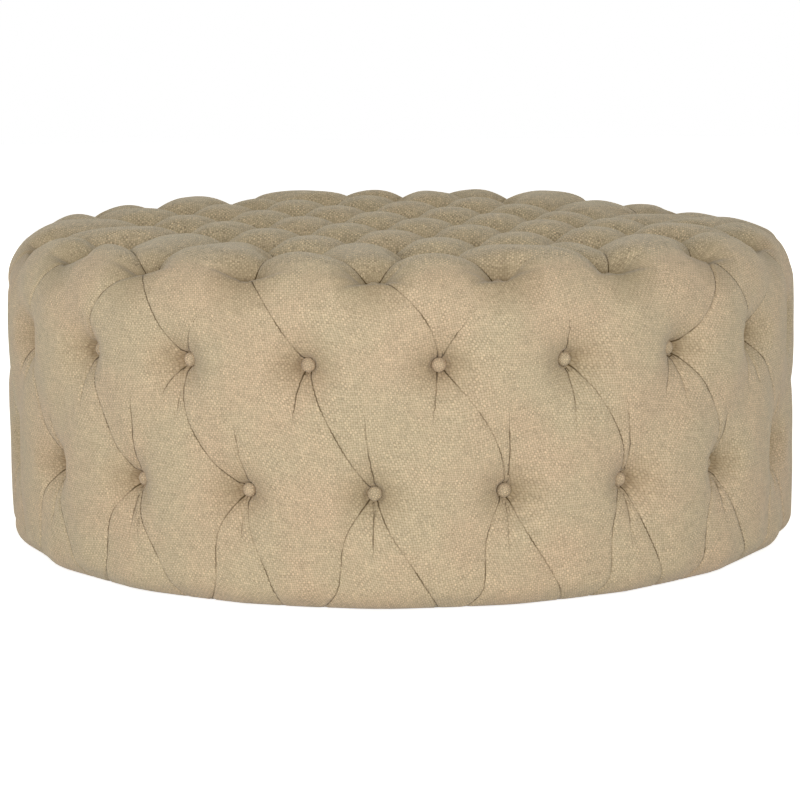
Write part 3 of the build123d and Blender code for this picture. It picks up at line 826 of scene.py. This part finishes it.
# How strong the painted shade is in the weave's gaps, round the buttons and on the buttons' tucked-under
# edges
GAP_SHADE_STRENGTH, SEAT_SHADE_STRENGTH, TUCK_SHADE_STRENGTH = 0.70, 0.56, 0.85
TOP_LESS_ROSY, TOP_MORE_TONE = 0.75, 0.6
# Painted shade lines in the creases: their core and edge, where they stop near a crease, and how much fuller
# they are in the shade painted round the buttons
CREASE_CORE, CREASE_EDGE = 0.0003, 0.0014
REAL_END, REAL_FADE = 0.0035, 0.001
FULL_IN_SEAT_SHADE = 1.9


def new_material(name, roughness=0.5, metallic=0.0):
    """A material with a Principled BSDF, and its node tree."""
    material = bpy.data.materials.new(name)
    material.use_nodes = True
    shader = material.node_tree.nodes["Principled BSDF"]
    shader.inputs["Roughness"].default_value = roughness
    shader.inputs["Metallic"].default_value = metallic
    return material, material.node_tree, shader


def weave_on(tree, uv_map, pitch):
    """The plain weave's height and tone on a map."""
    place = node(tree, "ShaderNodeUVMap", uv_map=uv_map).outputs[0]
    weave = node(tree, "ShaderNodeGroup", {"Place": place, "Pitch": pitch}, node_tree=weave_group)
    return weave.outputs["Height"], weave.outputs["Tone"]


def painted_fold_shade(tree, colour):
    """The cover's colour with shade painted round the buttons and dark lines of painted shade in its creases,
    uneven but full in the shade round the buttons. A line shows only near a crease, not where the sides of
    two creases meet."""
    hollow = attribute(tree, "hollow")
    # Shade painted round the buttons
    colour = mix_colours(tree, product(tree, hollow, SEAT_SHADE_STRENGTH), colour, PAINTED_SEAT_SHADE)
    off = maths(tree, "ABSOLUTE", attribute(tree, "fold_side"))
    # Dark lines of shade painted along the creases
    line = ramp(tree, off, CREASE_CORE, CREASE_EDGE, 1.0, 0.0)
    real = ramp(tree, attribute(tree, "fold_near"), REAL_END, REAL_END + REAL_FADE, 1.0, 0.0)
    uneven = ramp(tree, noise(tree, object_place(tree), 30.0, 2.0), 0.38, 0.60, 0.25, 0.92)
    strength = maths(tree, "MAXIMUM", uneven, product(tree, hollow, FULL_IN_SEAT_SHADE))
    return mix_colours(tree, product(tree, product(tree, line, real), strength), colour, PAINTED_CREASE_SHADE)


def woven_material(name, pitch, on_cover):
    """Coarse linen: plain weave with slubs, rosy and greenish patches, painted shade in the gaps between
    threads, and shade painted round the buttons and in the folds on the cover, or on a button's tucked-under
    edge."""
    material, t, shader = new_material(name, 0.92)
    shader.inputs["Sheen Weight"].default_value = 0.25
    shader.inputs["Sheen Roughness"].default_value = 0.5
    shader.inputs["Specular IOR Level"].default_value = 0.2
    height, tone = weave_on(t, "weave", pitch)
    patch = ramp(t, noise(t, object_place(t), 9.0, 3.0), 0.38, 0.62)
    if on_cover:
        on_top = attribute(t, "on_top")
        top_height, top_tone = weave_on(t, "weave_top", pitch)
        height, tone = mix_values(t, on_top, height, top_height), mix_values(t, on_top, tone, top_tone)
        patch = product(t, patch, maths(t, "MULTIPLY_ADD", on_top, -TOP_LESS_ROSY, 1.0))
    tone = ramp(t, tone, 0.2, 0.8, -TONE_SPREAD, TONE_SPREAD)
    if on_cover:
        tone = product(t, tone, maths(t, "MULTIPLY_ADD", on_top, TOP_MORE_TONE, 1.0))
    tone = maths(t, "ADD", tone, 1.0)
    grey = node(t, "ShaderNodeCombineColor", [tone, tone, tone]).outputs[0]
    colour = mix_colours(t, 1.0, mix_colours(t, patch, LINEN_PALE, LINEN_ROSY), grey, "MULTIPLY")
    # Shade painted into the gaps between threads, where the weave is low
    gap_shade = ramp(t, height, 0.12, 0.55, 1.0, 0.0)
    colour = mix_colours(t, product(t, gap_shade, GAP_SHADE_STRENGTH), colour, PAINTED_GAP_SHADE)
    if on_cover:
        # Shade painted round the buttons and in the creases
        colour = painted_fold_shade(t, colour)
    else:
        # Shade painted on a button's low edge, where it tucks into the cover
        colour = mix_colours(t, product(t, attribute(t, "tuck_shade"), TUCK_SHADE_STRENGTH), colour, PAINTED_TUCK_SHADE)
    t.links.new(colour, shader.inputs["Base Color"])
    bump(t, shader, 0.55, 0.0007, height)
    return material


PLY_LAYER = 0.004
PLY_EDGE = (0.22, 0.12, 0.055, 1)


def wood_material(name, light, dark, turn=(0, 0, 0), ring_width=RING_WIDTH, layers=False):
    """Bare softwood, or plywood with layers that show at its edge, with its grain turned along the board."""
    material, t, shader = new_material(name, 0.62)
    place = object_place(t)
    turned = node(t, "ShaderNodeMapping", {"Vector": place, "Rotation": turn}).outputs[0]
    values = {"Place": turned, "Ring Width": ring_width}
    grain = node(t, "ShaderNodeGroup", values, node_tree=grain_group).outputs
    streaks = maths(t, "MULTIPLY_ADD", grain["Pores"], 0.5, product(t, grain["Grain"], 0.5))
    colour = mix_colours(t, streaks, light, dark)
    if layers:
        stripes = maths(t, "SINE", product(t, part_of(t, place, 2), 2 * math.pi / PLY_LAYER))
        upward = part_of(t, node(t, "ShaderNodeNewGeometry").outputs["True Normal"], 2)
        edge = maths(t, "LESS_THAN", maths(t, "ABSOLUTE", upward), 0.5)
        colour = mix_colours(t, product(t, edge, ramp(t, stripes, -0.2, 0.2, 0.0, 0.55)), colour, PLY_EDGE)
    t.links.new(colour, shader.inputs["Base Color"])
    bump(t, shader, 0.3, 0.0004, grain["Pores"])
    return material


ROUGHNESS_SPREAD = 0.08


def speckled_material(name, light, dark, scale, roughness, metallic=0.0, bump_size=0.0005):
    """A fine, even surface with specks: foam cells, spunbond fibres, waxed twine, plated metal."""
    material, t, shader = new_material(name, roughness, metallic)
    specks = noise(t, object_place(t), scale, 4.0)
    specks.node.inputs["Roughness"].default_value = 0.7
    shade = ramp(t, specks, 0.35, 0.65)
    t.links.new(mix_colours(t, shade, light, dark), shader.inputs["Base Color"])
    rough = ramp(t, specks, 0.3, 0.7, roughness - ROUGHNESS_SPREAD, roughness + ROUGHNESS_SPREAD)
    t.links.new(rough, shader.inputs["Roughness"])
    bump(t, shader, 0.4, bump_size, specks)
    return material


cover_cloth = woven_material("linen_cover", COVER_PITCH, True)
button_cloth = woven_material("linen_button", BUTTON_PITCH, False)
foam = speckled_material("foam", (0.84, 0.78, 0.55, 1), (0.70, 0.62, 0.38, 1), 420.0, 0.9, bump_size=0.001)
dust = speckled_material("dust_cloth", (0.018, 0.018, 0.02, 1), (0.05, 0.05, 0.053, 1), 700.0, 0.85)
twine = speckled_material("waxed_twine", (0.66, 0.58, 0.42, 1), (0.42, 0.34, 0.22, 1), 1500.0, 0.5)
nickel = speckled_material("nickel", (0.62, 0.60, 0.57, 1), (0.50, 0.48, 0.45, 1), 260.0, 0.28, 1.0, 0.00005)
steel = speckled_material("galvanised_staple", (0.55, 0.55, 0.55, 1), (0.38, 0.38, 0.38, 1),
                          500.0, 0.4, 1.0, 0.00005)

PINE_LIGHT, PINE_DARK = (0.72, 0.53, 0.31, 1), (0.55, 0.35, 0.17, 1)
PLY_LIGHT, PLY_DARK = (0.66, 0.48, 0.28, 1), (0.50, 0.33, 0.17, 1)
BEECH_LIGHT, BEECH_DARK = (0.62, 0.42, 0.25, 1), (0.50, 0.31, 0.17, 1)
QUARTER = math.pi / 2
upright_pine = wood_material("pine_upright", PINE_LIGHT, PINE_DARK)
board_pine = wood_material("pine_boards", PINE_LIGHT, PINE_DARK, (QUARTER, 0, -TOP_TURN))
beam_pine = wood_material("pine_beams", PINE_LIGHT, PINE_DARK, (QUARTER, 0, QUARTER - TOP_TURN))
ply = wood_material("plywood", PLY_LIGHT, PLY_DARK, (QUARTER, 0, 0), 0.03, layers=True)
beech = wood_material("beech_toggles", BEECH_LIGHT, BEECH_DARK, (QUARTER, 0, 0), 0.006)


# The cover

cover = make_cover(cover_cloth)

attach(cover, "root")
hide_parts("tufted_cover")


# Covered buttons

# The outline goes, in shares of radius and height, from the underside to the ring round the dome's middle.
# Then come how much cloth the dome's height takes, where the cloth ends, and where the shade painted on its
# tucked-under edge fades.
BUTTON_RADIUS = 0.0099
BUTTON_HEIGHT = 0.0078
BUTTON_POINTS = 20
BUTTON_OUTLINE = [(0.80, 0.0), (0.93, 0.05), (1.0, 0.20), (0.96, 0.38), (0.82, 0.62), (0.58, 0.84),
                  (0.30, 0.965)]
CLOTH_DOWN = 0.5
CLOTH_END = 1.5
TUCK_SHADE_HEIGHT, TUCK_SHADE_FADE = 0.34, 0.30


def button_values(underside, rings, middle):
    """Values of a button's vertices: for its underside, for each ring, and for the middle of its dome."""
    return np.concatenate([[underside], np.repeat(rings, BUTTON_POINTS), [middle]])


def make_buttons(name, middles, facing):
    """Domed buttons: from the underside a short tuck to the widest ring, then a quarter ellipse to the
    middle of the dome, turned about each seat's axis. The weave's map is laid flat from that middle, and
    turned and moved by chance."""
    out, high = np.array(BUTTON_OUTLINE).T
    spin = np.concatenate([[0], np.tile(ring_turns(BUTTON_POINTS), len(out)), [0]])
    radius = BUTTON_RADIUS * button_values(0, out, 0)
    height = button_values(0, high, 1)
    reached = BUTTON_RADIUS * button_values(CLOTH_END, out + CLOTH_DOWN * (1 - high), 0)
    one_button = capped_faces([BUTTON_POINTS] * len(out))
    vertices, faces, places = [], [], []
    for k, (middle, face) in enumerate(zip(middles, facing)):
        level, up = seat_axes(face)
        circle = np.outer(radius * np.cos(spin), level) + np.outer(radius * np.sin(spin), up)
        vertices.append(middle + circle + np.outer(BUTTON_HEIGHT * height, face))
        faces += [[v + k * len(spin) for v in corners] for corners in one_button]
        angle = spin + rng.uniform(0, math.pi)
        flat = np.stack([reached * np.cos(angle), reached * np.sin(angle)])
        places.append(flat + rng.uniform(0, 1, (2, 1)))
    buttons = new_piece(name, np.concatenate(vertices), faces, button_cloth)
    # How much shade is painted on the low part of each dome, where it tucks into the cover
    vertex_values(buttons, "tuck_shade", np.tile(smooth_step((TUCK_SHADE_HEIGHT - height) / TUCK_SHADE_FADE), len(middles)))
    corner_map(buttons, "weave", *np.concatenate(places, axis=1)[:, corner_vertices(buttons)])
    return buttons


for node_name, (middles, facing, _) in seats.items():
    buttons = make_buttons("covered_" + node_name, middles, facing)
    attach(buttons, "root")
    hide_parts(node_name)


# Foam

FOAM_POINTS = 96
BAND_INNER_RADIUS = 0.514
BAND_CLEAR = 0.0003
SLAB_RADIUS = 0.4895
SLAB_BOTTOM = 0.3712
SLAB_TOP = 0.4158
SOFT_EDGE = 0.004
SOFT_CORNER = 0.0012


def foam_body(name, inner, outer, low, high, clear=0.0):
    """Foam turned about the Z axis, from a profile with eased outer corners whose side keeps clear of the
    outer radius: a closed band or, where it starts on the axis, a slab."""
    eased = [(outer - SOFT_EDGE, 0), (outer - SOFT_CORNER, SOFT_CORNER), (outer - clear, SOFT_EDGE)]
    upwards = [(inner, low)] + [(r, low + z) for r, z in eased]
    profile = upwards + [(r, high - z) for r, z in reversed(eased)] + [(inner, high)]
    radius, height = np.array(profile).T[..., None]
    points = round_points(radius, ring_turns(FOAM_POINTS), height).reshape(-1, 3)
    if inner > 0:
        faces = np.mod(rings_to_faces([FOAM_POINTS] * (len(profile) + 1)), len(points)).tolist()
    else:
        points = points[FOAM_POINTS - 1:1 - FOAM_POINTS]
        faces = capped_faces([FOAM_POINTS] * (len(profile) - 2))
    return new_piece(name, points, faces, foam)


side_foam = foam_body("side_foam_band", BAND_INNER_RADIUS, PAD_RADIUS, PAD_BOTTOM, PAD_TOP, BAND_CLEAR)
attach(side_foam, "root")
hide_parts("side_foam")

top_foam = foam_body("top_foam_slab", 0, SLAB_RADIUS, SLAB_BOTTOM, SLAB_TOP)
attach(top_foam, "root")
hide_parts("top_foam")


# Dust cloth

DUST_RADIUS = 0.505
DUST_HEIGHT = 0.003
DUST_THICKNESS = 0.0004
DUST_RINGS, DUST_POINTS = 39, 160
STAPLES = 20
RIPPLE_HEIGHT, RIPPLE_REACH = 0.00025, 0.05


def make_dust_cloth():
    """A round sheet stretched under the frame, 0.4 mm thick: rings about its middle, flat but for faint
    ripples, one to a staple, that run in from its edge and die away."""
    radius = DUST_RADIUS * np.linspace(0, 1, DUST_RINGS + 1)[1:, None]
    turns = ring_turns(DUST_POINTS)
    ripple = RIPPLE_HEIGHT * np.cos(STAPLES * turns) * np.exp((radius - DUST_RADIUS) / RIPPLE_REACH)
    rings = round_points(radius, turns, DUST_HEIGHT + ripple).reshape(-1, 3)
    faces = capped_faces([DUST_POINTS] * DUST_RINGS, end_cap=False)
    cloth = new_piece("dust_cloth_sheet", np.concatenate([[[0, 0, DUST_HEIGHT]], rings]), faces, dust)
    thick = cloth.modifiers.new("thickness", "SOLIDIFY")
    thick.thickness = DUST_THICKNESS
    thick.offset = 0.0
    return cloth


dust_sheet = make_dust_cloth()
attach(dust_sheet, "root")
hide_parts("dust_cloth")


# Materials of the frame's nodes

finish_of = {"base_ring": ply, "top_hoop": ply, "base_rail_lower": beam_pine, "base_rail_upper": board_pine,
             "deck_beam_left": beam_pine, "deck_beam_right": beam_pine, "deck_toggles": beech,
             "side_toggles": beech, "glides": nickel, "dust_cloth_staples": steel, "top_twines": twine,
             "rim_twines": twine, "upper_side_twines": twine, "lower_side_twines": twine}
for node_name, piece in nodes.items():
    finish = finish_of.get(node_name, board_pine if node_name.startswith("deck_slat") else upright_pine)
    piece.data.materials.clear()
    piece.data.materials.append(finish)


# Floor and surroundings

FLOOR_REACH = 9
FLOOR_COLOUR = (0.80, 0.79, 0.77, 1)
FLOOR_GLOW = 0.80
ROOM_LIGHT = (1, 0.975, 0.87, 1)
ROOM_STRENGTH = 0.27


def straight_rays(tree):
    """1 for a ray that comes from the camera, by a mirror or glass too, and 0 for one that only brings
    light."""
    rays = node(tree, "ShaderNodeLightPath").outputs
    mirrored = maths(tree, "MAXIMUM", rays["Is Camera Ray"], rays["Is Glossy Ray"])
    return maths(tree, "MAXIMUM", mirrored, rays["Is Transmission Ray"])


floor_mesh = bpy.data.meshes.new("floor")
corners = [(-1, -1), (1, -1), (1, 1), (-1, 1)]
floor_mesh.from_pydata([(x * FLOOR_REACH, y * FLOOR_REACH, 0) for x, y in corners], [], [(0, 1, 2, 3)])
floor = bpy.data.objects.new("floor", floor_mesh)
bpy.context.scene.collection.objects.link(floor)
floor_paint, t, shader = new_material("pale_floor", 0.7)
shader.inputs["Base Color"].default_value = FLOOR_COLOUR
shader.inputs["Emission Color"].default_value = (1, 1, 1, 1)
t.links.new(product(t, straight_rays(t), FLOOR_GLOW), shader.inputs["Emission Strength"])
floor_mesh.materials.append(floor_paint)

world = bpy.data.worlds.new("studio")
world.use_nodes = True
bpy.context.scene.world = world
t = world.node_tree
soft = t.nodes["Background"]
soft.inputs["Color"].default_value = ROOM_LIGHT
soft.inputs["Strength"].default_value = ROOM_STRENGTH
white = node(t, "ShaderNodeBackground", {"Color": (1, 1, 1, 1), "Strength": 1.0})
show = node(t, "ShaderNodeMixShader", {0: straight_rays(t), 1: soft.outputs[0], 2: white.outputs[0]})
t.links.new(show.outputs[0], t.nodes["World Output"].inputs["Surface"])


# Light

LIT_PLACE = Vector((0, 0, 0.2))


def soft_box(name, place, size, power, colour):
    """A large soft light that points at the middle of the ottoman."""
    lamp = bpy.data.lights.new(name, "AREA")
    lamp.shape = "RECTANGLE"
    lamp.size, lamp.size_y = size
    lamp.energy = power
    lamp.color = colour
    body = bpy.data.objects.new(name, lamp)
    bpy.context.scene.collection.objects.link(body)
    body.location = place
    body.rotation_euler = (LIT_PLACE - Vector(place)).to_track_quat("-Z", "Y").to_euler()


soft_box("front_light", (-0.25, -4.4, 1.1), (4.6, 1.8), 107, (1.0, 1.0, 0.98))
soft_box("left_light", (-3.8, -1.6, 1.2), (1.6, 1.8), 21, (1.0, 0.99, 0.94))
soft_box("right_light", (3.8, -1.6, 1.2), (1.6, 1.8), 21, (1.0, 0.99, 0.94))
soft_box("back_light", (0, 4.2, 1.5), (3.8, 1.8), 42, (1.0, 0.98, 0.80))
soft_box("top_light", (-0.1, -0.2, 3.2), (2.5, 2.5), 5.5, (1.0, 0.96, 0.62))


# Camera

CAMERA_PLACE = (0, -4.06, 0.849)
CAMERA_PITCH, CAMERA_YAW, CAMERA_ROLL = 0.1604, 0.0005, 0.011
camera_data = bpy.data.cameras.new("camera")
camera_data.sensor_width = 36
camera_data.lens = 121.8
camera_data.clip_end = 60
camera = bpy.data.objects.new("camera", camera_data)
bpy.context.scene.collection.objects.link(camera)
camera.matrix_world = (Matrix.Translation(CAMERA_PLACE) @ Matrix.Rotation(CAMERA_YAW, 4, "Z")
                       @ Matrix.Rotation(math.pi / 2 - CAMERA_PITCH, 4, "X")
                       @ Matrix.Rotation(-CAMERA_ROLL, 4, "Z"))
bpy.context.scene.camera = camera

bpy.context.scene.view_settings.view_transform = "Standard"
